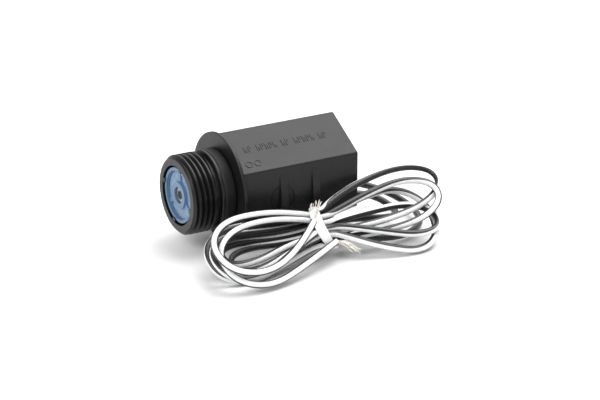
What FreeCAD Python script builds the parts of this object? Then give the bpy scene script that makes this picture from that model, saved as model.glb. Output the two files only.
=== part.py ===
import FreeCAD, Part
import math
import os
import re
import Sketcher

# Solenoid for a small water valve: a threaded nose with a captive plunger, a hexagonal coil
# housing and two leads tied in a hank.
# The body lies on one corner of its hexagon. X runs from the nose to the back, Z is up, and
# the origin is under the middle of the body. Stations along the axis are distances from the
# nose's front plane. All sizes are in millimetres.

driving_sizes = {
    # Housing
    "total_length": 58.8,  # nose front plane to the back end of the housing
    "flats_width": 32.4,  # hexagon across its flats
    "corner_round": 0.8,  # radius along the hexagon's corners
    "back_round": 0.5,  # radius round its back end
    "flange_start": 15.4,
    "flange_radius": 18.35,
    "flange_thickness": 1.1,
    "front_wall": 3.0,  # housing wall that the nose's spigot passes through
    "cavity_radius": 14.4,
    "rib_width": 2.6,
    "rib_depth": 2.0,  # at the rib's foot
    "rib_round": 0.25,
    "rib_first": 29.3,
    "rib_second": 41.2,
    # Threaded nose
    "thread_radius": 13.22,  # 3/4 inch pipe thread over its crests
    "thread_pitch": 1.814,
    "thread_depth": 1.1,
    "lead_in": 1.16,  # bevel before the first thread
    "thread_end": 8.7,  # where the relief groove begins
    "relief_width": 1.5,
    "relief_depth": 1.46,
    "collar_width": 0.9,
    "collar_bevel": 0.2,
    "seat_radius": 11.6,  # neck that the gasket sits on
    "gasket_radius": 13.3,
    "gasket_round": 0.9,
    "spigot_radius": 9.0,
    "chamber_radius": 7.6,
    # Filter in the mouth of the nose
    "mouth_radius": 9.95,
    "mouth_depth": 2.4,
    "filter_radius": 9.2,
    "filter_front": 0.55,
    "filter_rim": 1.0,
    "filter_plate": 0.6,
    "plate_setback": 0.6,  # plate behind the rim's front
    "spoke_width": 1.7,
    "hub_radius": 4.4,
    "hub_bore": 2.75,
    "hub_setback": 0.15,
    "screen_thickness": 0.15,
    "lug_reach": 1.0,
    "lug_width": 1.6,
    "lug_turn": 15.0,  # degrees from +Y towards +Z
    # Plunger and the tube that it slides in
    "plunger_radius": 4.5,
    "plunger_end": 27.0,
    "plunger_tip": 2.45,
    "plunger_front": 1.35,
    "plunger_bevel": 0.4,
    "plunger_travel": 2.0,  # gap between the plunger and the pole
    "seal_radius": 1.5,
    "seal_depth": 2.0,
    "running_gap": 0.08,  # radial, plunger in tube
    "tube_wall": 0.45,
    "tube_start": 13.0,
    "tube_flange": 0.8,
    "ring_length": 1.8,
    "oring_section": 0.78,
    "oring_room": 1.6,
    "oring_depth": 2.0,
    # Spring and pole
    "spring_bore": 2.4,
    "spring_depth": 9.0,
    "spring_radius": 1.75,
    "spring_turns": 7.0,
    "wire_radius": 0.28,
    "shade_inside": 2.9,
    "shade_outside": 3.7,
    "shade_depth": 1.2,
    "stud_radius": 3.0,
    "stud_length": 3.5,
    "clip_depth": 0.4,
    "clip_thickness": 0.8,
    "clip_reach": 1.4,
    "washer_thickness": 0.5,
    # Coil
    "strap_thickness": 1.6,
    "strap_width": 8.0,
    "cheek_radius": 11.8,
    "cheek_thickness": 1.0,
    "bobbin_wall": 0.85,
    "winding_radius": 11.0,
    "tape_thickness": 0.3,
    "bobbin_end": 46.8,
    "seat_gap": 0.1,
    "fit_gap": 0.05,
    "touch_gap": 0.02,
    "potting_start": 53.0,
    "potting_recess": 1.2,
    # Leads and their joints to the coil
    "lead_radius": 1.15,
    "core_radius": 0.47,
    "lead_offset": 5.6,  # sideways from the axis
    "lead_drop": 9.4,  # below the axis
    "pin_seat": 0.8,
    "pin_length": 4.2,
    "crimp_radius": 1.0,
    "crimp_length": 3.0,
    "crimp_start": 2.6,
    "tie_width": 3.3,
    "tie_thickness": 0.5,
}

# Places that several pieces share, worked out from the sizes above.
axis_height = "((flats_width / 2 - corner_round) / cos(30) + corner_round)"
collar_end = "(thread_end + relief_width + collar_width)"
flange_end = "(flange_start + flange_thickness)"
nose_end = "(flange_start + front_wall)"
tube_bore = "(plunger_radius + running_gap)"
tube_radius = "(plunger_radius + running_gap + tube_wall)"
plate_front = "(filter_front + plate_setback)"
plate_back = "(filter_front + plate_setback + filter_plate)"
pole_face = "(plunger_end + plunger_travel)"
yoke_front = "(flange_start + front_wall + seat_gap)"
bobbin_start = "(flange_start + front_wall + strap_thickness + 2 * seat_gap)"
cheek_front = f"({bobbin_start} + cheek_thickness)"
cheek_back = "(bobbin_end - cheek_thickness)"
yoke_back = "(bobbin_end + seat_gap)"
yoke_end = "(bobbin_end + seat_gap + strap_thickness)"
yoke_reach = "(cheek_radius + 2 * seat_gap)"
clip_start = f"({yoke_end} + washer_thickness + seat_gap)"
potting_face = "(total_length - potting_recess)"
lead_sides = ("(0 - lead_offset)", "lead_offset")
lead_level = "(0 - lead_drop)"

doc = FreeCAD.newDocument("Solenoid")
sheet = doc.addObject("Spreadsheet::Sheet", "Size")
for row, (alias, amount) in enumerate(driving_sizes.items(), start=1):
    sheet.set(f"A{row}", alias)
    sheet.set(f"B{row}", str(amount))
    sheet.setAlias(f"B{row}", alias)
doc.recompute()

axial = FreeCAD.Rotation(FreeCAD.Vector(0, 1, 0), 90)  # a primitive's own Z along +X
nodes = {}


def full(expression):
    """The expression with the sheet's name before each alias, which all hold an underscore."""
    return re.sub(r"\b([a-z]+(?:_[a-z]+)+)\b", r"Size.\1", str(expression))


def number(expression):
    value = sheet.evalExpression(full(expression))
    return float(getattr(value, "Value", value))


def bind(thing, expressions):
    for prop, expression in expressions.items():
        thing.setExpression(prop, full(expression))


def place(thing, station, side="0", lift="0"):
    bind(
        thing,
        {
            "Placement.Base.x": f"{station} - total_length / 2",
            "Placement.Base.y": side,
            "Placement.Base.z": f"{axis_height} + {lift}",
        },
    )
    return thing


def about_axis(degrees):
    return FreeCAD.Rotation(FreeCAD.Vector(1, 0, 0), degrees)


def keep(node, thing):
    """Labels a finished sub-part with its node's name."""
    thing.Label = node
    nodes[node] = thing
    return thing


# Shapes ----------------------------------------------------------------------------------


def primitive(kind, name, station, expressions, side="0", lift="0"):
    thing = doc.addObject("Part::" + kind, name)
    bind(thing, expressions)
    thing.Placement = FreeCAD.Placement(FreeCAD.Vector(), axial)
    return place(thing, station, side, lift)


def rod(name, start, end, radius, side="0", lift="0"):
    sizes = {"Radius": radius, "Height": f"{end} - {start}"}
    return primitive("Cylinder", name, start, sizes, side, lift)


def box(name, station, end, width, height, lift="0"):
    """A block between two stations, centred on the axis, whose underside is at lift."""
    block = doc.addObject("Part::Box", name)
    bind(block, {"Length": f"{end} - {station}", "Width": width, "Height": height})
    return place(block, station, f"0 - {width} / 2", lift)


def cut(name, base, tool):
    """Base without tool, which has to take something away."""
    made = doc.addObject("Part::Cut", name)
    made.Base, made.Tool = base, tool
    doc.recompute()
    if made.Shape.Volume > 0.9999 * base.Shape.Volume:
        raise RuntimeError(f"{name} takes nothing away")
    return made


def common(name, base, tool):
    made = doc.addObject("Part::Common", name)
    made.Base, made.Tool = base, tool
    return made


def tube(name, start, end, bore, radius, side="0", lift="0"):
    outside = rod(name + "_outside", start, end, radius, side, lift)
    return cut(name, outside, rod(name + "_bore", start, end, bore, side, lift))


def fuse(name, *shapes):
    made = doc.addObject("Part::MultiFuse", name)
    made.Shapes = list(shapes)
    return made


def group(name, *shapes):
    """Separate solids that share a node."""
    made = doc.addObject("Part::Compound", name)
    made.Links = list(shapes)
    return made


def rounded(name, base, radius_of):
    """Base with its edges rounded, where radius_of(edge) gives a size's name."""
    doc.recompute()
    made = doc.addObject("Part::Fillet", name)
    made.Base = base
    edges = []
    for i, edge in enumerate(base.Shape.Edges, start=1):
        radius = radius_of(edge)
        if radius:
            edges.append((i, number(radius), number(radius)))
    made.Edges = edges
    return made


def draw(sketch, corners):
    """A closed outline of (across, up) corners, with every corner bound to the sheet."""
    points = [FreeCAD.Vector(number(x), number(y), 0) for x, y in corners]
    count = len(points)
    for i, point in enumerate(points):
        sketch.addGeometry(Part.LineSegment(point, points[(i + 1) % count]))
    for i in range(count):
        sketch.addConstraint(Sketcher.Constraint("Coincident", i, 2, (i + 1) % count, 1))
    for i, (point, corner) in enumerate(zip(points, corners)):
        ways = zip(("DistanceX", "DistanceY"), (-2, -1), point[:2], corner)
        for kind, axis, amount, expression in ways:
            if abs(amount) < 1e-9:
                sketch.addConstraint(Sketcher.Constraint("PointOnObject", i, 1, axis))
                continue
            at = sketch.addConstraint(Sketcher.Constraint(kind, -1, 1, i, 1, amount))
            sketch.setExpression(f"Constraints[{at}]", full(expression))


def turned(name, outline):
    """A body turned about the axis from an outline of (station, radius) corners."""
    body = doc.addObject("PartDesign::Body", name)
    sketch = body.newObject("Sketcher::SketchObject", name + "_outline")
    plane = next(f for f in body.Origin.OriginFeatures if f.Role == "XY_Plane")
    sketch.AttachmentSupport = [(plane, "")]
    sketch.MapMode = "FlatFace"
    draw(sketch, outline)
    turn = body.newObject("PartDesign::Revolution", name + "_turn")
    turn.Profile = sketch
    turn.ReferenceAxis = (sketch, ["H_Axis"])
    turn.Angle = 360
    return place(body, "0")


def spiral(name, start, end, radius, pitch, section):
    """A section swept along a helix about the axis, which starts straight below it."""
    sizes = {"Pitch": pitch, "Height": f"{end} - {start}", "Radius": radius}
    helix = primitive("Helix", name + "_line", start, sizes)
    helix.SegmentLength = 0.5  # in turns: cuts with one long edge come out wrong
    doc.recompute()
    made = doc.addObject("Part::Sweep", name)
    made.Sections = [section]
    made.Spine = (helix, [f"Edge{i + 1}" for i in range(len(helix.Shape.Edges))])
    made.Solid = True
    made.Frenet = True
    return made


# Threaded nose ---------------------------------------------------------------------------


def make_thread_groove():
    """The V that winds round the nose, from before its front to the relief groove."""
    root, outside = "(thread_radius - thread_depth)", "(thread_radius + 0.1)"
    narrow = "(thread_pitch * 0.08)"
    wide = f"({narrow} + (thread_depth + 0.1) * tan(27.5))"  # half of the thread's 55 degrees
    start, end = "(0 - thread_pitch)", "(thread_end + relief_width / 2)"
    section = doc.addObject("Sketcher::SketchObject", "thread_section")
    section.Placement.Rotation = FreeCAD.Rotation(
        FreeCAD.Vector(0, 0, -1), FreeCAD.Vector(1, 0, 0), FreeCAD.Vector(0, -1, 0), "XYZ"
    )
    place(section, start)
    draw(
        section,
        [(root, f"0 - {narrow}"), (outside, f"0 - {wide}"), (outside, wide), (root, narrow)],
    )
    return spiral("thread_groove", start, end, root, "thread_pitch", section)


def make_nose():
    relief_end = "(thread_end + relief_width)"
    oring_front = "(tube_start + tube_flange)"
    oring_back = "(tube_start + tube_flange + oring_room)"
    blank = turned(
        "nose_blank",
        [
            ("0", "mouth_radius"),
            ("0", "thread_radius - lead_in"),
            ("lead_in", "thread_radius"),
            ("thread_end", "thread_radius"),
            ("thread_end", "thread_radius - relief_depth"),
            (relief_end, "thread_radius - relief_depth"),
            (relief_end, "thread_radius - collar_bevel"),
            (f"{relief_end} + collar_bevel", "thread_radius"),
            (collar_end, "thread_radius"),
            (collar_end, "seat_radius"),
            ("flange_start", "seat_radius"),
            ("flange_start", "spigot_radius"),
            (nose_end, "spigot_radius"),
            (nose_end, f"{tube_radius} + fit_gap"),
            (oring_back, f"{tube_radius} + fit_gap"),
            (oring_back, f"{tube_radius} + oring_depth"),
            (oring_front, f"{tube_radius} + oring_depth"),
            (oring_front, "chamber_radius"),
            ("mouth_depth", "chamber_radius"),
            ("mouth_depth", "mouth_radius"),
        ],
    )
    threaded = cut("threaded_blank", blank, make_thread_groove())
    lugs = []
    rooted = 0.5  # how far a lug's foot goes into the wall
    inner = "(mouth_radius - lug_reach)"
    for i in range(4):
        lug = doc.addObject("Part::Box", f"filter_lug_{i + 1}")
        lug.Placement.Rotation = about_axis(number("lug_turn") + 90 * i - 90)
        bind(
            lug,
            {
                "Length": "filter_front - hub_setback",
                "Width": "lug_width",
                "Height": f"lug_reach + {rooted}",
            },
        )
        angle = f"(lug_turn + {90 * i})"
        side = f"{inner} * cos({angle}) - lug_width / 2 * sin({angle})"
        lift = f"{inner} * sin({angle}) + lug_width / 2 * cos({angle})"
        lugs.append(place(lug, "0.1", side, lift))
    keep("threaded_nose", fuse("threaded_nose", threaded, *lugs))


def make_gasket():
    gasket = turned(
        "gasket_blank",
        [
            (collar_end, "seat_radius + fit_gap"),
            (collar_end, "gasket_radius"),
            ("flange_start", "gasket_radius"),
            ("flange_start", "seat_radius + fit_gap"),
        ],
    )
    outer = number("gasket_radius")

    def radius_of(edge):
        on_rim = len(edge.Vertexes) == 1 and abs(getattr(edge.Curve, "Radius", 0) - outer) < 1e-6
        return "gasket_round" if on_rim else None

    keep("nose_gasket", rounded("nose_gasket", gasket, radius_of))


# Filter ----------------------------------------------------------------------------------


def make_filter():
    inside = "(filter_radius - filter_rim)"
    back = "(mouth_depth - fit_gap)"
    hub_back = "(mouth_depth - hub_setback - fit_gap)"
    frame = turned(
        "filter_blank",
        [
            (plate_front, "hub_radius"),
            (plate_front, inside),
            ("filter_front", inside),
            ("filter_front", "filter_radius"),
            (back, "filter_radius"),
            (back, inside),
            (plate_back, inside),
            (plate_back, "hub_radius"),
            (hub_back, "hub_radius"),
            (hub_back, "hub_bore"),
            ("filter_front + hub_setback", "hub_bore"),
            ("filter_front + hub_setback", "hub_radius"),
        ],
    )
    ledge = 0.2  # left of the plate inside the rim and round the hub
    ring = tube("window_ring", plate_front, plate_back, f"hub_radius + {ledge}", f"{inside} - {ledge}")
    spokes = []
    for i in range(3):
        spoke = box(f"filter_spoke_{i + 1}", plate_front, plate_back, "spoke_width", "filter_radius")
        spoke.Placement.Rotation = about_axis(120 * i)
        bind(
            spoke,
            {
                "Placement.Base.y": f"0 - spoke_width / 2 * cos({120 * i})",
                "Placement.Base.z": f"{axis_height} - spoke_width / 2 * sin({120 * i})",
            },
        )
        spokes.append(spoke)
    windows = cut("windows", ring, fuse("spokes", *spokes))
    keep("filter_disc", cut("filter_disc", frame, windows))
    start = f"({plate_back} + touch_gap)"
    end = f"({plate_back} + touch_gap + screen_thickness)"
    screen = tube("filter_screen", start, end, "hub_radius + fit_gap", f"{inside} - fit_gap")
    keep("filter_screen", screen)


# Plunger, tube and pole ------------------------------------------------------------------


def make_plunger():
    shoulder = "(mouth_depth - hub_setback)"
    seal_end = "(plunger_front + seal_depth)"
    spring_seat = "(plunger_end - spring_depth)"
    keep(
        "plunger",
        turned(
            "plunger",
            [
                (seal_end, "0"),
                (seal_end, "seal_radius"),
                ("plunger_front", "seal_radius"),
                ("plunger_front", "plunger_tip"),
                (shoulder, "plunger_tip"),
                (shoulder, "plunger_radius - plunger_bevel"),
                (f"{shoulder} + plunger_bevel", "plunger_radius"),
                ("plunger_end - plunger_bevel", "plunger_radius"),
                ("plunger_end", "plunger_radius - plunger_bevel"),
                ("plunger_end", "spring_bore"),
                (spring_seat, "spring_bore"),
                (spring_seat, "0"),
            ],
        ),
    )
    keep("plunger_seal", rod("plunger_seal", "(plunger_front + seat_gap)", seal_end, "seal_radius"))


def make_tube():
    flange = "(chamber_radius - fit_gap)"
    end = "(bobbin_end - seat_gap)"
    keep(
        "core_tube",
        turned(
            "core_tube",
            [
                ("tube_start", tube_bore),
                ("tube_start", flange),
                ("tube_start + tube_flange", flange),
                ("tube_start + tube_flange", tube_radius),
                (end, tube_radius),
                (end, tube_bore),
            ],
        ),
    )
    front, inside = "(tube_start - ring_length)", f"({tube_bore} + tube_wall)"
    keep("tube_retainer", tube("tube_retainer", front, "tube_start", inside, flange))
    middle = "(tube_start + tube_flange + oring_room / 2)"
    radii = {"Radius1": f"{tube_radius} + oring_depth / 2", "Radius2": "oring_section"}
    keep("tube_oring", primitive("Torus", "tube_oring", middle, radii))


def make_pole():
    groove_end = f"({pole_face} + shade_depth)"
    outside = f"({tube_bore} - touch_gap)"
    clip_floor = "(stud_radius - clip_depth)"
    clip_end = f"({clip_start} + clip_thickness)"
    stud_end = f"({yoke_back} + stud_length)"
    keep(
        "pole_piece",
        turned(
            "pole_piece",
            [
                (pole_face, "0"),
                (pole_face, "shade_inside"),
                (groove_end, "shade_inside"),
                (groove_end, "shade_outside"),
                (pole_face, "shade_outside"),
                (pole_face, outside),
                (yoke_back, outside),
                (yoke_back, "stud_radius"),
                (clip_start, "stud_radius"),
                (clip_start, clip_floor),
                (clip_end, clip_floor),
                (clip_end, "stud_radius"),
                (stud_end, "stud_radius"),
                (stud_end, "0"),
            ],
        ),
    )
    inside, rim = "(shade_inside + touch_gap)", "(shade_outside - touch_gap)"
    keep("shading_ring", tube("shading_ring", pole_face, groove_end, inside, rim))
    clip = (f"({clip_start} + touch_gap)", f"({clip_end} - touch_gap)")
    clip_bore, clip_rim = f"({clip_floor} + touch_gap)", "(stud_radius + clip_reach)"
    keep("core_clip", tube("core_clip", *clip, clip_bore, clip_rim))
    washer = (f"({yoke_end} + touch_gap)", f"({yoke_end} + touch_gap + washer_thickness)")
    washer_rim = "(stud_radius + clip_reach + clip_depth)"
    keep("spring_washer", tube("spring_washer", *washer, "(stud_radius + seat_gap)", washer_rim))


def make_spring():
    start = "(plunger_end - spring_depth + wire_radius + fit_gap)"
    end = f"({pole_face} - wire_radius - fit_gap)"
    section = doc.addObject("Part::Circle", "spring_section")
    bind(section, {"Radius": "wire_radius"})
    place(section, start, "0", "0 - spring_radius")
    section.Placement.Rotation = about_axis(90)
    pitch = f"({end} - {start}) / spring_turns"
    keep("plunger_spring", spiral("plunger_spring", start, end, "spring_radius", pitch, section))


# Coil and its iron -----------------------------------------------------------------------


def make_coil():
    bore, core = f"({tube_radius} + fit_gap)", f"({tube_radius} + fit_gap + bobbin_wall)"
    spool = turned(
        "spool",
        [
            (bobbin_start, bore),
            (bobbin_start, "cheek_radius"),
            (cheek_front, "cheek_radius"),
            (cheek_front, core),
            (cheek_back, core),
            (cheek_back, "cheek_radius"),
            ("bobbin_end", "cheek_radius"),
            ("bobbin_end", bore),
        ],
    )
    pin_start, pin_end = "(bobbin_end - pin_seat)", "(bobbin_end + pin_length)"
    holes, pins = [], []
    for i, side in enumerate(lead_sides):
        hole_radius = "(core_radius + touch_gap)"
        holes.append(rod(f"pin_hole_{i}", pin_start, "bobbin_end", hole_radius, side, lead_level))
        pins.append(rod(f"terminal_pin_{i}", pin_start, pin_end, "core_radius", side, lead_level))
    keep("bobbin", cut("bobbin", spool, fuse("pin_holes", *holes)))
    keep("terminal_pins", group("terminal_pins", *pins))
    core_side = f"({core} + touch_gap)"
    keep("coil_winding", tube("coil_winding", cheek_front, cheek_back, core_side, "winding_radius"))
    tape = (f"({cheek_front} + seat_gap)", f"({cheek_back} - seat_gap)")
    inside = "(winding_radius + touch_gap)"
    outside = "(winding_radius + touch_gap + tape_thickness)"
    keep("winding_tape", tube("winding_tape", *tape, inside, outside))


def make_lead_joints():
    start = "(bobbin_end + crimp_start)"
    end = "(bobbin_end + crimp_start + crimp_length)"
    core_start = "(bobbin_end + pin_length + seat_gap)"
    crimps, tails = [], []
    for i, side in enumerate(lead_sides):
        at = (side, lead_level)
        crimps.append(tube(f"crimp_{i}", start, end, "(core_radius + touch_gap)", "crimp_radius", *at))
        core = rod(f"tail_core_{i}", core_start, end, "core_radius", *at)
        cover = rod(f"tail_cover_{i}", end, potting_face, "lead_radius", *at)
        tails.append(fuse(f"tail_{i}", core, cover))
    keep("lead_crimps", group("lead_crimps", *crimps))
    keep("lead_tails", group("lead_tails", *tails))


def make_yoke():
    """An iron strap under the coil, turned up at both ends round the tube and the stud."""
    past = 1.0  # how far a cutter runs past what it cuts
    front_end = f"({yoke_front} + strap_thickness)"
    under = f"0 - {yoke_reach}"
    leg_width, leg_height = "strap_width + 6", "cheek_radius + 8.5"
    whole = fuse(
        "yoke_blank",
        box("yoke_strap", yoke_front, yoke_end, "strap_width", "strap_thickness",
            f"{under} - strap_thickness"),
        box("yoke_front_leg", yoke_front, front_end, leg_width, leg_height, under),
        box("yoke_back_leg", yoke_back, yoke_end, "strap_width", f"{yoke_reach} + 7.2", under),
    )
    limit = rod("yoke_limit", yoke_front, yoke_end, "cavity_radius - seat_gap")
    trimmed = common("yoke_trimmed", whole, limit)
    tube_hole = (f"({yoke_front} - {past})", f"({front_end} + {past})", f"{tube_radius} + fit_gap")
    stud_hole = (f"({yoke_back} - {past})", f"({yoke_end} + {past})", "stud_radius + fit_gap")
    holes = fuse("yoke_holes", rod("tube_hole", *tube_hole), rod("stud_hole", *stud_hole))
    keep("yoke_frame", cut("yoke_frame", trimmed, holes))


# Housing ---------------------------------------------------------------------------------


def make_rib(name, station, side):
    """A rib on a vertical side that stands out further towards its foot."""
    rib = doc.addObject("Part::Wedge", name)
    sunk = "(0 - 0.5)"
    bind(
        rib,
        {
            "Xmin": "0",
            "Xmax": "rib_width",
            "X2min": "0",
            "X2max": "rib_width",
            "Ymin": "0",
            "Ymax": "flats_width * 0.46",
            "Zmin": sunk,
            "Zmax": "rib_depth",
            "Z2min": sunk,
            "Z2max": "rib_depth / 20",
        },
    )
    upright = FreeCAD.Rotation(FreeCAD.Vector(1, 0, 0), 90)
    if side > 0:
        upright = FreeCAD.Rotation(FreeCAD.Vector(0, 0, 1), 180).multiply(upright)
        station = f"{station} + rib_width"
    rib.Placement = FreeCAD.Placement(FreeCAD.Vector(), upright)
    return place(rib, station, f"{side} * flats_width / 2", "0 - flats_width / 4")


def make_housing():
    overlap = "0.2"  # between the hexagon and the flange
    prism_start = f"({flange_end} - {overlap})"
    sizes = {"Circumradius": "flats_width / 2 / cos(30)", "Height": f"total_length - {prism_start}"}
    prism = primitive("Prism", "housing_prism", prism_start, sizes)
    prism.Polygon = 6
    back_end = number("total_length / 2")

    def radius_of(edge):
        ends = [vertex.X for vertex in edge.Vertexes]
        if abs(ends[0] - ends[1]) > 1:
            return "corner_round"
        return "back_round" if abs(ends[0] - back_end) < 1e-6 else None

    hexagon = rounded("housing_hexagon", prism, radius_of)
    bevel = "(flange_thickness / 6)"
    flange = turned(
        "flange",
        [
            ("flange_start", "spigot_radius + fit_gap"),
            ("flange_start", f"flange_radius - {bevel}"),
            (f"flange_start + {bevel}", "flange_radius"),
            (f"{flange_end} - {bevel}", "flange_radius"),
            (flange_end, f"flange_radius - {bevel}"),
            (flange_end, "spigot_radius + fit_gap"),
        ],
    )
    flat = number("flats_width / 2")
    ribs = []
    for side, hand in ((-1, "right"), (1, "left")):
        for station in ("rib_first", "rib_second"):
            rib = make_rib(f"{station}_{hand}_blank", station, side)

            def radius_of(edge):
                outside = min(vertex.Y * side for vertex in edge.Vertexes) > flat
                upright = abs(edge.Vertexes[0].Z - edge.Vertexes[1].Z) > 1
                return "rib_round" if outside and upright else None

            ribs.append(rounded(f"{station}_{hand}", rib, radius_of))
    outside = fuse("housing_outside", hexagon, flange, *ribs)
    cavity = rod("housing_cavity", nose_end, "(total_length + 1)", "cavity_radius")
    mouth = rod("housing_mouth", "(flange_start - 1)", f"({nose_end} + 1)", "spigot_radius + fit_gap")
    keep("coil_housing", cut("coil_housing", outside, fuse("housing_inside", cavity, mouth)))

    plug = rod("potting_blank", "potting_start", potting_face, "cavity_radius - touch_gap")
    ways = []
    for i, side in enumerate(lead_sides):
        span = ("(potting_start - 1)", f"({potting_face} + 1)")
        ways.append(rod(f"lead_way_{i}", *span, "lead_radius + touch_gap", side, lead_level))
    keep("potting_fill", cut("potting_fill", plug, fuse("lead_ways", *ways)))


# Leads -----------------------------------------------------------------------------------

exit_x = number(f"{potting_face} - total_length / 2")
exit_y = number("lead_offset")
exit_z = number(f"{axis_height} - lead_drop")

# The routes from the potting to the tied hank. Each first point is the lead's exit.
lead_routes = {
    "lead_a_run": [
        (exit_x, -exit_y, exit_z),
        (35.5, -exit_y, exit_z),
        (42.2, -8.6, 7.0),
        (44.4, -15.6, 4.8),
        (40.4, -22.2, 5.2),
        (31.8, -24.8, 7.4),
        (23.0, -25.6, 9.6),
        (15.0, -26.3, 10.8),
    ],
    "lead_b_run": [
        (exit_x, exit_y, exit_z),
        (37.0, exit_y, exit_z),
        (45.5, 2.8, 7.0),
        (51.5, -4.8, 4.6),
        (53.0, -14.5, 2.7),
        (49.5, -24.0, 2.1),
        (42.0, -30.0, 2.1),
        (33.0, -32.5, 2.8),
        (23.5, -32.0, 4.4),
        (15.0, -30.8, 6.0),
    ],
}

# The hank leans on the housing, in a plane that slopes up from the floor. In that plane the
# first number runs along X and the second up the slope, from the middle of the tie.
hank_slope = 34.0
hank_middle = FreeCAD.Vector(11, -29.3, 8.75)
left_lobe = {
    "outline": [(-4, 8.3), (-20, 13.6), ((-30, -14.6), (-46.3, 0)), (-4, -6.3)],
    "under": -4.4,
    "over": 7.4,
}
right_lobe = {
    "outline": [(1.5, 9.5), (24, 18.6), ((27, -14.6), (48.6, 4)), (1.5, -6.3)],
    "under": -3.6,
    "over": 7.4,
}
waist = {"low": (-4.5, -6.3, -2.4), "high": (2.0, 8.3, 3.6)}
strand_ends = {
    "strands_a": ((-3.9, -5.6, 5.6), (3.6, -12.4, 3.6)),
    "strands_b": ((-3.9, 3.0, 5.6), (-0.8, 11.0, 5.4)),
}


def lead_tube(route, radius):
    """A round tube along straight runs that tangent arcs join, and its smallest arc radius."""
    points = [FreeCAD.Vector(*point) for point in route]
    edges, start, smallest = [], points[0], math.inf
    for before, corner, after in zip(points, points[1:], points[2:]):
        back, onward = (before - corner).normalize(), (after - corner).normalize()
        turn = math.pi - back.getAngle(onward)
        trim = 0.45 * min((before - corner).Length, (after - corner).Length)
        arc_radius = trim / math.tan(turn / 2)
        smallest = min(smallest, arc_radius)
        first, last = corner + back * trim, corner + onward * trim
        middle = corner + (back + onward).normalize() * (arc_radius / math.cos(turn / 2) - arc_radius)
        edges.append(Part.LineSegment(start, first).toShape())
        edges.append(Part.Arc(first, middle, last).toShape())
        start = last
    edges.append(Part.LineSegment(start, points[-1]).toShape())
    spine = Part.Wire(edges)
    disc = Part.Wire(Part.makeCircle(radius, points[0], points[1] - points[0]))
    solid = spine.makePipeShell([disc], True, False)
    expected = math.pi * radius**2 * spine.Length
    if abs(solid.Volume - expected) > 0.01 * expected:
        raise ValueError("the lead's volume isn't its section times its length")
    return solid, spine.Length, smallest


def add_shape(node, shape, placement=None):
    made = doc.addObject("Part::Feature", node)
    made.Shape = shape
    if placement:
        made.Placement = placement
    return keep(node, made)


def lobe_solid(lobe):
    """A prism over a lobe's outline, where a pair of points is an arc's end and its middle."""
    low = lobe["under"]
    edges, at = [], FreeCAD.Vector(*lobe["outline"][0], low)
    for item in lobe["outline"][1:] + lobe["outline"][:1]:
        if isinstance(item[0], tuple):
            end, middle = (FreeCAD.Vector(*point, low) for point in item)
            edges.append(Part.Arc(at, middle, end).toShape())
        else:
            end = FreeCAD.Vector(*item, low)
            edges.append(Part.LineSegment(at, end).toShape())
        at = end
    return Part.Face(Part.Wire(edges)).extrude(FreeCAD.Vector(0, 0, lobe["over"] - low))


def make_leads():
    radius = number("lead_radius")
    for node, route in lead_routes.items():
        solid, length, smallest = lead_tube(route, radius)
        add_shape(node, solid)
        print(f"{node}: {length:.1f} mm long, smallest arc radius {smallest:.1f} mm")

    leaning = FreeCAD.Rotation(FreeCAD.Vector(1, 0, 0), hank_slope)
    in_place = FreeCAD.Placement(hank_middle, leaning)
    low, high = FreeCAD.Vector(*waist["low"]), FreeCAD.Vector(*waist["high"])
    size = high - low
    block = Part.makeBox(size.x, size.y, size.z, low)
    hank = lobe_solid(left_lobe).fuse([lobe_solid(right_lobe), block]).removeSplitter()
    hank.Placement = in_place
    # It stays above the floor, clear of the housing's ribs and of its back end.
    wide, tall = 100, 45
    rib_face = -number("flats_width / 2 + rib_depth + 0.8")
    clear_x = number("total_length / 2") + 1.2
    beside = Part.makeBox(wide, tall, tall, FreeCAD.Vector(-60, rib_face - tall, 0))
    beyond = Part.makeBox(wide, wide, tall, FreeCAD.Vector(clear_x, rib_face - tall, 0))
    add_shape("lead_hank", hank.common(beside.fuse(beyond).removeSplitter()))

    width, thick = number("tie_width"), number("tie_thickness")
    middle = (low.x + high.x) / 2
    corner = FreeCAD.Vector(middle - width / 2, low.y - thick, low.z - thick)
    band = Part.makeBox(width, size.y + 2 * thick, size.z + 2 * thick, corner).cut(block)
    add_shape("lead_tie", band, in_place)
    for node, ends in strand_ends.items():
        start, end = (FreeCAD.Vector(*point) for point in ends)
        along = end - start
        strands = Part.makeCone(number("core_radius"), 0.9, along.Length, start, along)
        add_shape(node, strands, in_place)


make_nose()
make_gasket()
make_filter()
make_plunger()
make_tube()
make_pole()
make_spring()
make_coil()
make_lead_joints()
make_yoke()
make_housing()
make_leads()
doc.recompute()

for thing in doc.Objects:
    if "Invalid" in thing.State or "Error" in thing.State:
        raise RuntimeError(f"{thing.Label} failed: {thing.State}")
for node, thing in nodes.items():
    if thing.Shape.isNull() or not thing.Shape.isValid() or not thing.Shape.Solids:
        raise RuntimeError(f"{node} has no valid solid")
os.makedirs("parts", exist_ok=True)
for node, thing in nodes.items():
    thing.Shape.exportStep(f"parts/{node}.step")
    print(f"{node}: {len(thing.Shape.Solids)} solid(s), {thing.Shape.Volume:.1f} cubic mm")
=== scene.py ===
import bpy
import bmesh
import math
from mathutils import Matrix, Vector


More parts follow.
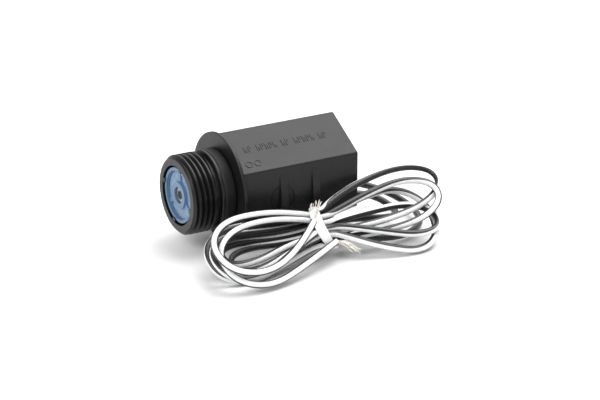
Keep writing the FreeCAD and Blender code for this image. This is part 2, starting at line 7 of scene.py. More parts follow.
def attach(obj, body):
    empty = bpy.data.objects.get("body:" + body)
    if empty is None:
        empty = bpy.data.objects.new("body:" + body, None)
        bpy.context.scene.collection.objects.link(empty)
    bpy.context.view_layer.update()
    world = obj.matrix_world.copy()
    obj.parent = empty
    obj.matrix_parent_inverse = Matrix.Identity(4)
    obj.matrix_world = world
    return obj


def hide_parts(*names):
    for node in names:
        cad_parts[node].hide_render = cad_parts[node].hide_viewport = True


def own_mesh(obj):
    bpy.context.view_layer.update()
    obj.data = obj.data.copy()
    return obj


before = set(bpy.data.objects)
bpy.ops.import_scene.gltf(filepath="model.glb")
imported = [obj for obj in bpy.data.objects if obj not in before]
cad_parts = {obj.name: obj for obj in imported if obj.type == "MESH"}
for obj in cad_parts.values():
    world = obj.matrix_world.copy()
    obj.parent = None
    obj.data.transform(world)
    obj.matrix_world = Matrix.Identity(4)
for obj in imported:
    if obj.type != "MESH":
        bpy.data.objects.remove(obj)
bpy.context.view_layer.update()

mm = 0.001
quarterTurn = math.radians(90)

# ---- camera, floor and light

viewpoint = {
    "place": (-0.3248, -0.5938, 0.2752),
    "bearing": -29.9,
    "drop": 21.3,
    "lens": 132,
    "sensor": 36,
    "near": 0.01,
}


def added(name, data):
    obj = bpy.data.objects.new(name, data)
    bpy.context.collection.objects.link(obj)
    return obj


cameraData = bpy.data.cameras.new("viewpoint")
cameraData.lens = viewpoint["lens"]
cameraData.sensor_width = viewpoint["sensor"]
cameraData.clip_start = viewpoint["near"]
camera = added("viewpoint", cameraData)
camera.location = viewpoint["place"]
tilt, heading = math.radians(90 - viewpoint["drop"]), math.radians(viewpoint["bearing"])
camera.rotation_euler = (tilt, 0, heading)
bpy.context.scene.camera = camera


class Signal:
    # a socket of a finish's nodes, on which sums can be written
    def __init__(self, finish, socket):
        self.finish = finish
        self.socket = socket

    def sum(self, operation, first, second):
        return self.finish.node("ShaderNodeMath", {"operation": operation}, {0: first, 1: second})

    def __add__(self, other):
        return self.sum("ADD", self, other)

    def __radd__(self, other):
        return self.sum("ADD", other, self)

    def __sub__(self, other):
        return self.sum("SUBTRACT", self, other)

    def __rsub__(self, other):
        return self.sum("SUBTRACT", other, self)

    def __mul__(self, other):
        return self.sum("MULTIPLY", self, other)

    def __rmul__(self, other):
        return self.sum("MULTIPLY", other, self)

    def cap(self, other):
        return self.sum("MINIMUM", self, other)

    def split(self):
        return self.finish.node("ShaderNodeSeparateXYZ", {}, {0: self}, every=True)


class Finish:
    def __init__(self, name, **sockets):
        self.material = bpy.data.materials.new(name)
        self.material.use_nodes = True
        self.tree = self.material.node_tree
        self.shader = self.tree.nodes["Principled BSDF"]
        self.set(sockets)

    def set(self, sockets):
        for name, value in sockets.items():
            self.feed(self.shader.inputs[name.replace("_", " ")], value)

    def feed(self, socket, value):
        if isinstance(value, Signal):
            self.tree.links.new(value.socket, socket)
        else:
            socket.default_value = value

    def node(self, kind, settings, sockets, result=0, every=False):
        made = self.tree.nodes.new(kind)
        for name, value in settings.items():
            if name == "stops":
                stops = made.color_ramp.elements
                while len(stops) < len(value):
                    stops.new(0.5)
                for stop, (place, shade) in zip(stops, value):
                    stop.position = place
                    stop.color = grey(shade) if isinstance(shade, (int, float)) else shade
            else:
                setattr(made, name, value)
        for name, value in sockets.items():
            self.feed(made.inputs[name], value)
        if every:
            return [Signal(self, socket) for socket in made.outputs]
        return Signal(self, made.outputs[result])

    def place(self):
        return self.node("ShaderNodeTexCoord", {}, {}, "Object")

    def noise(self, size, detail=3.0, roughness=0.55, stretch=None):
        # size is the noise's grain in metres
        where = self.place()
        if stretch:
            where = self.node("ShaderNodeMapping", {}, {"Vector": where, "Scale": stretch})
        settings = {"Vector": where, "Scale": 1 / size, "Detail": detail, "Roughness": roughness}
        return self.node("ShaderNodeTexNoise", {}, settings)

    def ramp(self, signal, *stops):
        return self.node("ShaderNodeValToRGB", {"stops": stops}, {"Fac": signal})

    def blend(self, factor, first, second):
        # a mix node's colours go in at 6 and 7 and come out at 2
        sockets = {0: factor, 6: first, 7: second}
        return self.node("ShaderNodeMix", {"data_type": "RGBA"}, sockets, 2)

    def relief(self, height, depth):
        # height is from 0 to 1, and depth is what 1 stands for, in metres
        sockets = {"Height": height, "Distance": depth, "Strength": 1.0}
        self.set({"Normal": self.node("ShaderNodeBump", {}, sockets)})


def grey(value, tint=(1.0, 1.0, 1.0)):
    return (value * tint[0], value * tint[1], value * tint[2], 1.0)


def paint(obj, finish):
    obj.data.materials.clear()
    obj.data.materials.append(finish.material)
    return obj


def ride(obj):
    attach(obj, "housing")
    return obj


floorFinish = Finish("floor", Base_Color=grey(0.84), Roughness=0.55, Specular_IOR_Level=0.2)
bm = bmesh.new()
bmesh.ops.create_grid(bm, x_segments=1, y_segments=1, size=4.0)
floorData = bpy.data.meshes.new("floor")
bm.to_mesh(floorData)
bm.free()
floor = paint(added("floor", floorData), floorFinish)

sky = bpy.data.worlds.new("studio")
sky.use_nodes = True
background = sky.node_tree.nodes["Background"].inputs
background["Color"].default_value = grey(1.0)
background["Strength"].default_value = 0.62
bpy.context.scene.world = sky
bpy.context.scene.view_settings.view_transform = "Standard"

softboxesAim = Vector((0, 0, 0.02))
softboxes = {
    "key": {"place": (0.42, 0.02, 0.85), "size": 0.85, "power": 10.5},
    "left": {"place": (-0.8, -0.45, 0.75), "size": 0.6, "power": 7.0},
    "back": {"place": (0.35, 0.8, 0.7), "size": 0.8, "power": 3.0},
}
for name, softbox in softboxes.items():
    lampData = bpy.data.lights.new(name, "AREA")
    lampData.shape = "SQUARE"
    lampData.size = softbox["size"]
    lampData.energy = softbox["power"]
    lamp = added(name, lampData)
    lamp.location = softbox["place"]
    aim = softboxesAim - lamp.location
    lamp.rotation_euler = aim.to_track_quat("-Z", "Y").to_euler()
print("stage ready")

# ---- the two leads

# The hank leans on the housing. Along runs with X, up is up its slope and out stands off it.
hank = {"middle": (0.011, -0.0293, 0.00875), "slope": math.radians(34.0)}
alongHank = Vector((1, 0, 0))
upHank = Vector((0, math.cos(hank["slope"]), math.sin(hank["slope"])))
outHank = Vector((0, -math.sin(hank["slope"]), math.cos(hank["slope"])))


def onHank(along, up, out):
    # a place in the hank, from its middle, in millimetres
    return Vector(hank["middle"]) + (alongHank * along + upHank * up + outHank * out) * mm


def standing(along, up, out, middle):
    # turns and moves what is drawn along X, Y and Z to lie along these three, from the middle
    place = Matrix([[*row, 0] for row in zip(along, up, out)] + [[0, 0, 0, 1]])
    place.translation = middle
    return place


# The bevel's seam is bevelStart degrees from its side. From there the stripe's middle is stripeAt
# of the way round, with stripeHalf to either side. Its angles are in degrees from stripeFaces, and
# hiddenAngle turns it away from the camera.
lead = {
    "diameter": 0.0023,
    "stepsPerLobe": 8,
    "tieAt": -1.25,
    "pinch": 1.65,
    "bevelStart": 154.3,
    "stripeAt": 0.5,
    "stripeHalf": 0.125,
    "stripeFaces": Vector((-0.46, -0.80, 0.38)).normalized(),
    "hiddenAngle": 150.0,
}
# A lead runs from the housing's back to the hank in metres, and the rest is in the hank's
# millimetres. It goes through the tie at each pair of ties, up and out, with a lobe in between.
# A lobe's side is 1 towards the housing's back. Its layer is how far its tip stands off the
# slope, and its stripe turns by three angles, at its start, its tip and its end.
lobeColumns = ("side", "reach", "bearing", "half", "taper", "layer", "rise", "roll", "stripe")
leadA = {
    "route": [
        (0.0282, -0.0056, 0.00918),
        (0.0355, -0.0056, 0.00918),
        (0.0422, -0.0086, 0.0070),
        (0.0444, -0.0156, 0.0048),
        (0.0404, -0.0222, 0.0052),
        (0.0318, -0.0252, 0.0074),
        (0.0230, -0.0262, 0.0094),
        (0.0165, -0.0268, 0.0102),
    ],
    "ties": [(3.6, -1.1), (-1.1, -1.1), (7.2, 1.1), (-3.45, -1.1), (4.8, 1.1), (5.6, 4.4)],
    "lobes": [
        (-1, 38.4, 2.6, 9.8, 4.43, -2.6, 1.2, -2.6, (25.0, 90.0, -25.0)),
        (1, 46.3, 7.5, 8.8, 1.11, 5.1, 1.0, 0.5, (0.0, 30.0, 120.0)),
        (-1, 44.0, 5.1, 14.5, 3.11, -1.6, 0.8, 0.3, (35.0, 110.0, -20.0)),
        (1, 41.9, 1.9, 9.2, 1.89, 7.2, 2.1, -0.4, (120.0, 0.0, -85.0)),
        (-1, 45.9, 14.5, 16.5, 1.28, 6.9, 0.9, -0.5, (0.0, 0.0, 0.0)),
    ],
    "end": (-6.2, 2.2, 3.9),
}
leadB = {
    "route": [
        (0.0282, 0.0056, 0.00918),
        (0.0370, 0.0056, 0.00918),
        (0.0455, 0.0028, 0.0070),
        (0.0515, -0.0048, 0.0046),
        (0.0530, -0.0145, 0.0027),
        (0.0495, -0.0240, 0.0021),
        (0.0420, -0.0300, 0.0021),
        (0.0330, -0.0325, 0.0028),
        (0.0235, -0.0320, 0.0044),
        (0.0165, -0.0308, 0.0060),
    ],
    "ties": [(1.25, -1.1), (-2.25, 1.1), (6.0, -1.1), (0.1, 1.1), (2.45, 1.1), (-1.5, 2.6)],
    "lobes": [
        (-1, 35.9, 4.2, 9.4, 3.68, -3.8, 1.6, -2.2, (30.0, 90.0, -30.0)),
        (1, 39.7, -8.7, 17.7, 1.86, 1.0, 1.3, 0.9, (20.0, 40.0, -140.0)),
        (-1, 44.2, 11.7, 16.8, 3.07, 1.5, 1.1, -2.7, (30.0, 100.0, -30.0)),
        (1, 39.7, -11.2, 10.6, 2.27, 3.4, 0.6, 1.2, (50.0, 55.0, 60.0)),
        (-1, 43.9, 11.9, 14.4, 1.16, 4.5, 1.1, 0.7, (0.0, 0.0, 0.0)),
    ],
    "end": (-1.6, -6.2, 2.6),
}
for spec in (leadA, leadB):
    spec["lobes"] = [dict(zip(lobeColumns, row)) for row in spec["lobes"]]


def lobePoints(lobe, leave, back):
    side, steps = lobe["side"], lead["stepsPerLobe"]
    turn = math.radians(lobe["bearing"])
    points = []
    for step in range(1, steps + 1):
        way = step / (steps + 1)
        angle = 2 * math.pi * way
        reach = side * lobe["reach"] * (1 - math.cos(angle)) / 2
        aside = -side * lobe["half"] * math.sin(angle) * math.sin(angle / 2) ** lobe["taper"]
        share = way * way * (3 - 2 * way)
        up = leave[0] * (1 - share) + back[0] * share
        out = leave[1] * (1 - share) + back[1] * share
        lift = math.sin(angle / 2) ** lobe["rise"]
        out = out * (1 - lift) + lobe["layer"] * lift + lobe["roll"] * math.sin(angle)
        along = reach * math.cos(turn) - aside * math.sin(turn)
        across = reach * math.sin(turn) + aside * math.cos(turn)
        points.append(onHank(lead["tieAt"] + along, across + up, out))
    return points


def throughTie(height, out, side):
    # two points that keep a lead straight inside the tie, on its way to a lobe on this side
    return [onHank(lead["tieAt"] + side * way * lead["pinch"], height, out) for way in (-1, 1)]


def leadTilts(spec, points):
    # the bevel's turn at each point that keeps the stripe facing where its lobe's angles say
    angles = [lead["hiddenAngle"]] * len(spec["route"])
    for lobe in spec["lobes"]:
        first, middle, last = lobe["stripe"]
        steps = lead["stepsPerLobe"] + 1
        for step in range(steps + 1):
            way = step / steps * 2
            if way < 1:
                angles.append(first + (middle - first) * way)
            else:
                angles.append(middle + (last - middle) * (way - 1))
    tilts = []
    for i in range(len(points)):
        onward = (points[min(i + 1, len(points) - 1)] - points[max(i - 1, 0)]).normalized()
        side = onward.cross(Vector((0, 0, 1))).normalized()
        over = side.cross(onward)
        facing = (lead["stripeFaces"] - onward * onward.dot(lead["stripeFaces"])).normalized()
        turned = Matrix.Rotation(math.radians(angles[i]), 3, onward) @ facing
        seam = math.radians(lead["bevelStart"] - 360 * lead["stripeAt"])
        tilt = seam - math.atan2(turned.dot(over), turned.dot(side))
        while tilts and tilt - tilts[-1] > math.pi:
            tilt -= 2 * math.pi
        while tilts and tilt - tilts[-1] < -math.pi:
            tilt += 2 * math.pi
        tilts.append(tilt)
    return tilts


def leadPoints(spec):
    points = [Vector(p) for p in spec["route"]]
    for lobe, leave, back in zip(spec["lobes"], spec["ties"], spec["ties"][1:]):
        points += throughTie(*leave, lobe["side"])
        points += lobePoints(lobe, leave, back)
    points[-1] = onHank(*spec["end"])
    return points


def newCurve(name, diameter, fineness, roundness):
    curve = bpy.data.curves.new(name, "CURVE")
    curve.dimensions = "3D"
    curve.resolution_u = fineness
    curve.bevel_depth = diameter / 2
    curve.bevel_resolution = roundness
    curve.use_fill_caps = True
    return curve


def addSpline(curve, points, tilts):
    spline = curve.splines.new("NURBS")
    spline.points.add(len(points) - 1)
    for control, point, tilt in zip(spline.points, points, tilts):
        control.co = (*point, 1)
        control.tilt = tilt
    spline.order_u = 3
    spline.use_endpoint_u = True


def makeLead(name, spec):
    points = leadPoints(spec)
    line = newCurve(name, lead["diameter"], 10, 5)
    line.twist_mode = "Z_UP"
    addSpline(line, points, leadTilts(spec, points))
    obj = added(name, line)
    # its length is measured on a copy without the bevel
    bare = line.copy()
    bare.bevel_depth = 0
    bareObj = added("measure", bare)
    bpy.context.view_layer.update()
    evaluated = bareObj.evaluated_get(bpy.context.evaluated_depsgraph_get())
    places = [v.co.copy() for v in bpy.data.meshes.new_from_object(evaluated).vertices]
    length = sum((b - a).length for a, b in zip(places, places[1:]))
    bpy.data.objects.remove(bareObj)
    print(name, "is", round(length, 4), "m long, lowest", round(min(p.z for p in places), 5))
    return obj, length


# The cover's UV runs from 0 to 1 along the lead and round it, and its ribs slant round the lead.
coverRibs = {"alongLead": 3300, "roundLead": 6.2832, "depth": 0.00004}
leadFinish = Finish("leadCover", Coat_Weight=0.15, Coat_Roughness=0.2)
turns = leadFinish.node("ShaderNodeTexCoord", {}, {}, "UV").split()
fromStripe = {0: turns[1] - lead["stripeAt"]}
offStripe = leadFinish.node("ShaderNodeMath", {"operation": "ABSOLUTE"}, fromStripe)
dust = leadFinish.noise(0.0011, 4.0)
edge = (lead["stripeHalf"] - 0.012, 1.0), (lead["stripeHalf"] + 0.004, 0.0)
onStripe = leadFinish.ramp(offStripe, *edge)
blackCover = leadFinish.ramp(dust, (0.35, grey(0.008)), (0.75, grey(0.022)))
whiteCover = leadFinish.ramp(dust, (0.3, grey(0.72)), (0.7, grey(0.84, (0.97, 0.985, 1.0))))
leadFinish.set({"Base_Color": leadFinish.blend(onStripe, blackCover, whiteCover)})
leadFinish.set({"Roughness": dust * 0.18 + 0.30})
phase = turns[0] * coverRibs["alongLead"] + turns[1] * coverRibs["roundLead"]
ribs = leadFinish.node("ShaderNodeMath", {"operation": "SINE"}, {0: phase})
leadFinish.relief(ribs * 0.25 + dust * 0.5, coverRibs["depth"])

leads = {}
for name, spec in (("leadA", leadA), ("leadB", leadB)):
    leads[name] = makeLead(name, spec)
    ride(paint(leads[name][0], leadFinish))
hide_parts("lead_a_run", "lead_hank")
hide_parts("lead_b_run", "lead_hank")

# ---- the tie and the bare ends

hankFrame = standing(alongHank, upHank, outHank, Vector(hank["middle"]))


def finished(bm, name, finish, smooth=True):
    # the mesh is given in metres, in its place
    bmesh.ops.recalc_face_normals(bm, faces=bm.faces)
    data = bpy.data.meshes.new(name)
    bm.to_mesh(data)
    bm.free()
    for face in data.polygons:
        face.use_smooth = smooth
    return paint(added(name, data), finish)


def thicken(obj, skin):
    wall = obj.modifiers.new("wall", "SOLIDIFY")
    wall.thickness = skin * mm
    wall.offset = 0
    soft = obj.modifiers.new("soft", "SUBSURF")
    soft.levels = soft.render_levels = 1
    return obj


# The band is a tube across the hank, in millimetres. Its rows lean, wave and narrow at the waist,
# and folds run round it. Tall and deep are half its height and half its depth.
tie = {
    "middle": (-1.25, 0.9, 0.7),
    "tall": 8.1,
    "deep": 3.6,
    "width": 3.7,
    "skin": 0.28,
    "around": 44,
    "rows": 8,
    "skew": -0.88,
    "wave": 0.45,
    "shift": -0.95,
    "waist": 0.08,
    "fold": 0.018,
    "folds": 9,
    "foldLean": 2,
    "edge": 0.035,
    "bulge": 0.12,
}
tieFinish = Finish("tieTape", Base_Color=grey(0.68, (1.0, 0.995, 0.98)))
tieFinish.set({"Coat_Weight": 0.35, "Coat_Roughness": 0.15})
weave = tieFinish.noise(0.0016, 3.0, 0.6, (1.0, 0.25, 0.25))
tieFinish.set({"Roughness": weave * 0.2 + 0.28})
tieFinish.relief(weave, 0.00012)

bm = bmesh.new()
bmesh.ops.create_circle(bm, cap_ends=False, segments=tie["around"], radius=1.0)
toX = Matrix.Rotation(quarterTurn, 3, "Y")
bmesh.ops.rotate(bm, cent=(0, 0, 0), matrix=toX, verts=bm.verts)
rim = list(bm.edges)
for row in range(tie["rows"]):
    grown = bmesh.ops.extrude_edge_only(bm, edges=rim)["geom"]
    rim = [g for g in grown if isinstance(g, bmesh.types.BMEdge)]
    fresh = [g for g in grown if isinstance(g, bmesh.types.BMVert)]
    bmesh.ops.translate(bm, vec=(tie["width"] / tie["rows"], 0, 0), verts=fresh)
for vert in bm.verts:
    across = vert.co.x / tie["width"] * 2 - 1
    angle = math.atan2(vert.co.z, vert.co.y)
    fold = 1 + tie["fold"] * math.sin(angle * tie["folds"] + across * tie["foldLean"])
    fold -= tie["edge"] * across * across
    vert.co.x = across * tie["width"] / 2 * (1 - tie["waist"] * math.cos(angle * 2))
    vert.co.x += tie["skew"] * tie["deep"] * math.sin(angle)
    vert.co.x += tie["wave"] * math.cos(angle) + tie["shift"]
    vert.co.y *= tie["tall"] * fold
    vert.co.z *= tie["deep"] * fold * (1 + tie["bulge"] * abs(math.cos(angle)))
    vert.co = (vert.co + Vector(tie["middle"])) * mm
bmesh.ops.transform(bm, matrix=hankFrame, verts=bm.verts)
tieBand = ride(thicken(finished(bm, "tieBand", tieFinish), tie["skin"]))
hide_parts("lead_tie")

# its free end, folded back over the band's top and narrowing, with a wave across it
tieTail = {
    "from": (-3.6, 6.4, 2.8),
    "along": -1.75,
    "up": 0.98,
    "out": 1.33,
    "width": 2.2,
    "narrows": 0.25,
    "lean": 0.5,
    "wave": 0.5,
    "waves": 5,
    "curl": 1.5 * quarterTurn,
}
bm = bmesh.new()
bmesh.ops.create_grid(bm, x_segments=10, y_segments=4, size=0.5)
for vert in bm.verts:
    way, across = vert.co.x + 0.5, vert.co.y
    bend = tieTail["curl"] * way
    along = tieTail["along"] * math.sin(bend) + tieTail["lean"] * across
    up = tieTail["up"] * way + across * tieTail["width"] * (1 - tieTail["narrows"] * way)
    wave = tieTail["wave"] * math.sin(across * tieTail["waves"])
    out = tieTail["out"] * (1 - math.cos(bend)) + wave
    vert.co = (Vector(tieTail["from"]) + Vector((along, up, out))) * mm
bmesh.ops.transform(bm, matrix=hankFrame, verts=bm.verts)
tieEnd = ride(thicken(finished(bm, "tieEnd", tieFinish), tie["skin"]))

# Each set fans out from its lead's end, through one place, to the strands' tips. Spread is how
# wide the fan is at its start, there and late on the way from there to the tips.
strand = {"diameter": 0.0002, "spread": (0.3, 0.45, 0.7), "late": 0.55}
strandSets = {
    "strandsA": {
        "node": "strands_a",
        "from": leadB["end"],
        "through": (0.6, -8.2, 3.6),
        "tips": [
            (3.6, -12.4, 3.4),
            (4.6, -11.8, 3.0),
            (2.5, -12.2, 3.8),
            (5.3, -10.9, 2.7),
            (3.9, -11.4, 4.1),
            (1.9, -11.6, 3.0),
            (4.4, -12.2, 2.6),
        ],
    },
    "strandsB": {
        "node": "strands_b",
        "from": leadA["end"],
        "through": (-4.7, 4.4, 5.8),
        "tips": [
            (-2.0, 8.4, 6.0),
            (-2.5, 8.0, 6.1),
            (-3.9, 7.6, 6.4),
            (-5.0, 7.0, 6.6),
            (-1.6, 7.4, 6.2),
            (-2.9, 7.3, 6.4),
            (-3.4, 8.3, 6.0),
        ],
    },
}
tinned = Finish("tinnedStrands", Metallic=0.85, Roughness=0.38)
dull, bright = grey(0.62, (1.0, 0.93, 0.78)), grey(0.85, (1.0, 0.97, 0.9))
tinned.set({"Base_Color": tinned.ramp(tinned.noise(0.0012), (0.3, dull), (0.7, bright))})
for name, spec in strandSets.items():
    wire = newCurve(name, strand["diameter"], 6, 2)
    start, middle = Vector(spec["from"]), Vector(spec["through"])
    early, midway, late = strand["spread"]
    for i, tip in enumerate(spec["tips"]):
        spin = i * 2 * math.pi / len(spec["tips"])
        spread = Vector((math.cos(spin), math.sin(spin), math.sin(spin + 1)))
        nearTip = middle.lerp(Vector(tip), strand["late"])
        stops = [start + spread * early, middle + spread * midway, nearTip + spread * late, tip]
        addSpline(wire, [onHank(*stop) for stop in stops], [0.0] * len(stops))
    ride(paint(added(name, wire), tinned))
    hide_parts(spec["node"])

print("leads ready")

# ---- raised marks on the housing, in millimetres

axisHeight = 18.58 * mm
facing = {
    "slanted": (Vector((1, 0, 0)), Vector((0, 0.866, 0.5)), Vector((0, -0.5, 0.866))),
    "side": (Vector((1, 0, 0)), Vector((0, 0, 1)), Vector((0, -1, 0))),
}
# flat is how far a flat is from the axis, and back is where the stations are counted from
marks = {
    "flat": 16.2,
    "back": 29.4,
    "height": 0.13,
    "edge": 0.06,
    "sunk": -0.1,
    "crest": 0.3,
    "steps": 40,
}


def onFace(bm, face, station, up):
    # stands a mark, drawn flat, on one of the housing's flats
    along, across, outward = facing[face]
    middle = along * (station - marks["back"]) + across * up + outward * marks["flat"]
    place = standing(along, across, outward, middle * mm + Vector((0, 0, axisHeight)))
    bmesh.ops.scale(bm, vec=(mm, mm, mm), verts=bm.verts)
    bmesh.ops.transform(bm, matrix=place, verts=bm.verts)


def barMark(target, face, station, up, wide, tall):
    bm = bmesh.new()
    bmesh.ops.create_cube(bm, size=1.0)
    bmesh.ops.scale(bm, vec=(wide, tall, marks["height"] * 2), verts=bm.verts)
    bmesh.ops.bevel(
        bm,
        geom=bm.edges[:],
        offset=marks["edge"],
        offset_type="OFFSET",
        segments=2,
        profile=0.5,
        affect="EDGES",
        material=-1,
    )
    onFace(bm, face, station, up)
    merge(bm, target)


def ringMark(target, face, station, up, radius, stroke, height):
    bm = bmesh.new()
    foot, top = stroke / 2, stroke * marks["crest"]
    outline = (-foot, marks["sunk"]), (-top, height), (top, height), (foot, marks["sunk"])
    profile = [bm.verts.new((radius + x, 0, z)) for x, z in outline]
    edges = [bm.edges.new(pair) for pair in zip(profile, profile[1:])]
    bmesh.ops.spin(
        bm,
        geom=profile + edges,
        cent=(0, 0, 0),
        axis=(0, 0, 1),
        angle=2 * math.pi,
        steps=marks["steps"],
        use_merge=True,
    )
    onFace(bm, face, station, up)
    merge(bm, target)


def merge(bm, target):
    bmesh.ops.recalc_face_normals(bm, faces=bm.faces)
    scrap = bpy.data.meshes.new("scrap")
    bm.to_mesh(scrap)
    bm.free()
    target.from_mesh(scrap)
    bpy.data.meshes.remove(scrap)


markMesh = bmesh.new()
# groups of paired plain strokes, one long and one short, in place of lettering
strokeRow = {
    "from": 20.5,
    "to": 51.5,
    "up": 0.5,
    "stroke": 0.34,
    "tall": 2.5,
    "short": (0.45, 0.7, 0.55),
    "places": (0.28, 0.74),
    "groups": (2, 5, 2, 5, 2),
}
slots = sum(strokeRow["groups"]) + len(strokeRow["groups"]) - 1
pitch = (strokeRow["to"] - strokeRow["from"]) / slots
station = strokeRow["from"]
for group in strokeRow["groups"]:
    for i in range(group):
        tall = strokeRow["tall"]
        short = strokeRow["short"][(i + group) % 3] * tall
        shift = (short - tall) / 2 * (-1) ** i
        for place, up, height in zip(strokeRow["places"], (0, shift), (tall, short)):
            at = station + pitch * place
            up += strokeRow["up"]
            barMark(markMesh, "slanted", at, up, strokeRow["stroke"], height)
        station += pitch
    station += pitch
rings = {"stations": (19.8, 23.0), "up": -5.7, "radius": 1.15, "stroke": 0.35, "height": 0.16}
for station in rings["stations"]:
    size = rings["radius"], rings["stroke"], rings["height"]
    ringMark(markMesh, "slanted", station, rings["up"], *size)
# the emblem is a ring with a dot in it and two bars below
emblem = {
    "station": 30.6,
    "ring": (-1.2, 4.2),
    "dot": (-2.1, 0.45),
    "stroke": 0.5,
    "height": 0.3,
    "bars": (-5.8, -6.5),
    "bar": (2.2, 0.3),
}
for up, radius in (emblem["ring"], emblem["dot"]):
    size = radius, emblem["stroke"], emblem["height"]
    ringMark(markMesh, "side", emblem["station"], up, *size)
for up in emblem["bars"]:
    barMark(markMesh, "side", emblem["station"], up, *emblem["bar"])
column = {"station": 54.3, "from": -4.0, "pitch": 1.9, "count": 5, "bar": (1.3, 0.35)}
for i in range(column["count"]):
    up = column["from"] + i * column["pitch"]
    barMark(markMesh, "side", column["station"], up, *column["bar"])
print("marks ready")

# ---- finishes for what the frame already holds


def moulded(name, shade, rough, grain, depth, scratch=0.05):
    # moulded plastic: a fine grain, cloudy gloss, dust in patches and hairline scratches
    finish = Finish(name, Specular_IOR_Level=0.33)
    cloud = finish.noise(0.009, 4.0, 0.6)
    speck = finish.noise(0.00035, 2.0, 0.6)
    streak = finish.noise(0.002, 3.0, 0.6, (0.12, 1.0, 1.6))
    line = finish.ramp(streak, (0.492, 0.0), (0.5, 1.0), (0.508, 0.0))
    dusty = finish.ramp(speck * 0.6 + cloud * 0.4, (0.60, 0.0), (0.72, 1.0))
    worn = (line * scratch + dusty * 0.10).cap(0.25)
    lighter = [v * 1.35 for v in shade[:3]] + [1.0]
    base = finish.ramp(cloud, (0.3, shade), (0.7, lighter))
    finish.set({"Base_Color": finish.blend(worn, base, grey(0.16))})
    finish.set({"Roughness": cloud * 0.16 + line * 0.1 + (rough - 0.08)})
    finish.relief(speck * 0.5 + finish.noise(grain, 2.0) * 0.5, depth)
    return finish


housingPlastic = moulded("housingPlastic", grey(0.0050), 0.40, 0.00045, 0.00006)
nosePlastic = moulded("nosePlastic", grey(0.0042), 0.34, 0.0006, 0.00004, 0.08)
rubber = moulded("gasketRubber", grey(0.006), 0.52, 0.0003, 0.00005, 0.0)
sealRubber = moulded("sealRubber", grey(0.010), 0.55, 0.0003, 0.00004, 0.0)
resin = moulded("pottingResin", grey(0.010), 0.16, 0.004, 0.00018, 0.0)
bobbinPlastic = moulded("bobbinPlastic", grey(0.62, (1.0, 0.98, 0.93)), 0.42, 0.0006, 0.00004)
windingTape = moulded("windingTape", (0.55, 0.36, 0.10, 1.0), 0.30, 0.0012, 0.00005)
filterPlastic = moulded("filterPlastic", (0.085, 0.150, 0.250, 1.0), 0.36, 0.0005, 0.00004)

ride(finished(markMesh, "housingMarks", housingPlastic, False))


def metal(name, shade, rough, brushed, grainAlong):
    # bare metal with turning or drawing lines and dull patches
    finish = Finish(name, Metallic=1.0)
    patch = finish.noise(0.004, 4.0, 0.6)
    lines = finish.noise(0.0005, 3.0, 0.65, grainAlong)
    darker = [v * 0.78 for v in shade[:3]] + [1.0]
    base = finish.ramp(patch, (0.3, darker), (0.7, shade))
    finish.set({"Base_Color": base, "Roughness": patch * 0.18 + lines * 0.12 + (rough - 0.14)})
    finish.relief(lines, brushed)
    return finish


# how the lines are stretched: round the axis, or along it
turned, drawn = (4.0, 0.3, 0.3), (0.15, 1.5, 1.5)
plungerSteel = metal("plungerSteel", grey(0.42), 0.32, 0.00002, turned)
tubeSteel = metal("tubeSteel", grey(0.62), 0.28, 0.00001, drawn)
springSteel = metal("springSteel", grey(0.50), 0.34, 0.00001, drawn)
yokeSteel = metal("yokeSteel", grey(0.60, (1.0, 0.98, 0.92)), 0.36, 0.00002, drawn)
copper = metal("copper", (0.80, 0.36, 0.20, 1.0), 0.30, 0.00002, turned)
windingWire = metal("windingWire", (0.62, 0.22, 0.09, 1.0), 0.28, 0.00006, (6.0, 0.2, 0.2))

# the mesh's threads run along Y and Z, one every 0.4 mm: this is 2 pi over that, in metres
threadTurns = 15700
screenFinish = Finish("filterMesh", Metallic=0.1)
waves = []
for axis in screenFinish.place().split()[1:]:
    sine = {0: axis * threadTurns}
    waves.append(screenFinish.node("ShaderNodeMath", {"operation": "SINE"}, sine))
threads = waves[0] * waves[1] * 0.5 + 0.5
gap, thread = (0.05, 0.10, 0.18, 1), (0.30, 0.42, 0.57, 1)
screenFinish.set({"Base_Color": screenFinish.ramp(threads, (0.1, gap), (0.55, thread))})
screenFinish.set({"Roughness": threads * 0.2 + 0.35})
screenFinish.relief(threads, 0.00008)

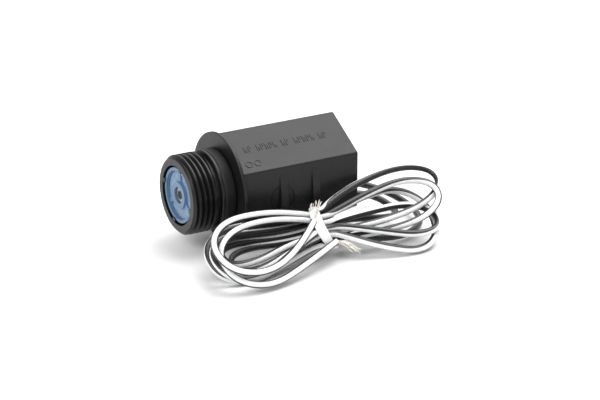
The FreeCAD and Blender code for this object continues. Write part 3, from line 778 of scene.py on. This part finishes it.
finishes = {
    "coil_housing": housingPlastic,
    "threaded_nose": nosePlastic,
    "nose_gasket": rubber,
    "potting_fill": resin,
    "filter_disc": filterPlastic,
    "filter_screen": screenFinish,
    "plunger": plungerSteel,
    "plunger_seal": sealRubber,
    "core_tube": tubeSteel,
    "tube_retainer": nosePlastic,
    "tube_oring": sealRubber,
    "plunger_spring": springSteel,
    "pole_piece": plungerSteel,
    "shading_ring": copper,
    "bobbin": bobbinPlastic,
    "coil_winding": windingWire,
    "winding_tape": windingTape,
    "yoke_frame": yokeSteel,
    "spring_washer": springSteel,
    "core_clip": springSteel,
    "terminal_pins": tinned,
    "lead_crimps": tinned,
    "lead_tails": leadFinish,
    "lead_a_run": leadFinish,
    "lead_b_run": leadFinish,
    "lead_hank": leadFinish,
    "lead_tie": tieFinish,
    "strands_a": tinned,
    "strands_b": tinned,
}
for node, finish in finishes.items():
    paint(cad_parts[node], finish)
print("finishes ready")

# ---- the plunger's spring, a fixed coil, in millimetres

spring = {"from": -11.07, "to": -0.73, "radius": 1.75, "wire": 0.28, "turns": 7, "stroke": 1.8}
bm = bmesh.new()
bmesh.ops.create_circle(bm, cap_ends=True, segments=10, radius=spring["wire"])
toY = Matrix.Rotation(quarterTurn, 3, "X")
bmesh.ops.rotate(bm, cent=(0, 0, 0), matrix=toY, verts=bm.verts)
bmesh.ops.translate(bm, vec=(spring["from"], 0, -spring["radius"]), verts=bm.verts)
stepsPerTurn = 22
steps = spring["turns"] * stepsPerTurn
bmesh.ops.spin(
    bm,
    geom=bm.verts[:] + bm.edges[:] + bm.faces[:],
    cent=(0, 0, 0),
    axis=(1, 0, 0),
    dvec=((spring["to"] - spring["from"]) / steps, 0, 0),
    angle=2 * math.pi * spring["turns"],
    steps=steps,
)
bmesh.ops.scale(bm, vec=(mm, mm, mm), verts=bm.verts)
bmesh.ops.translate(bm, vec=(0, 0, axisHeight), verts=bm.verts)
coil = ride(finished(bm, "springCoil", springSteel))
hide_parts("plunger_spring")
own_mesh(coil)
print("spring ready")
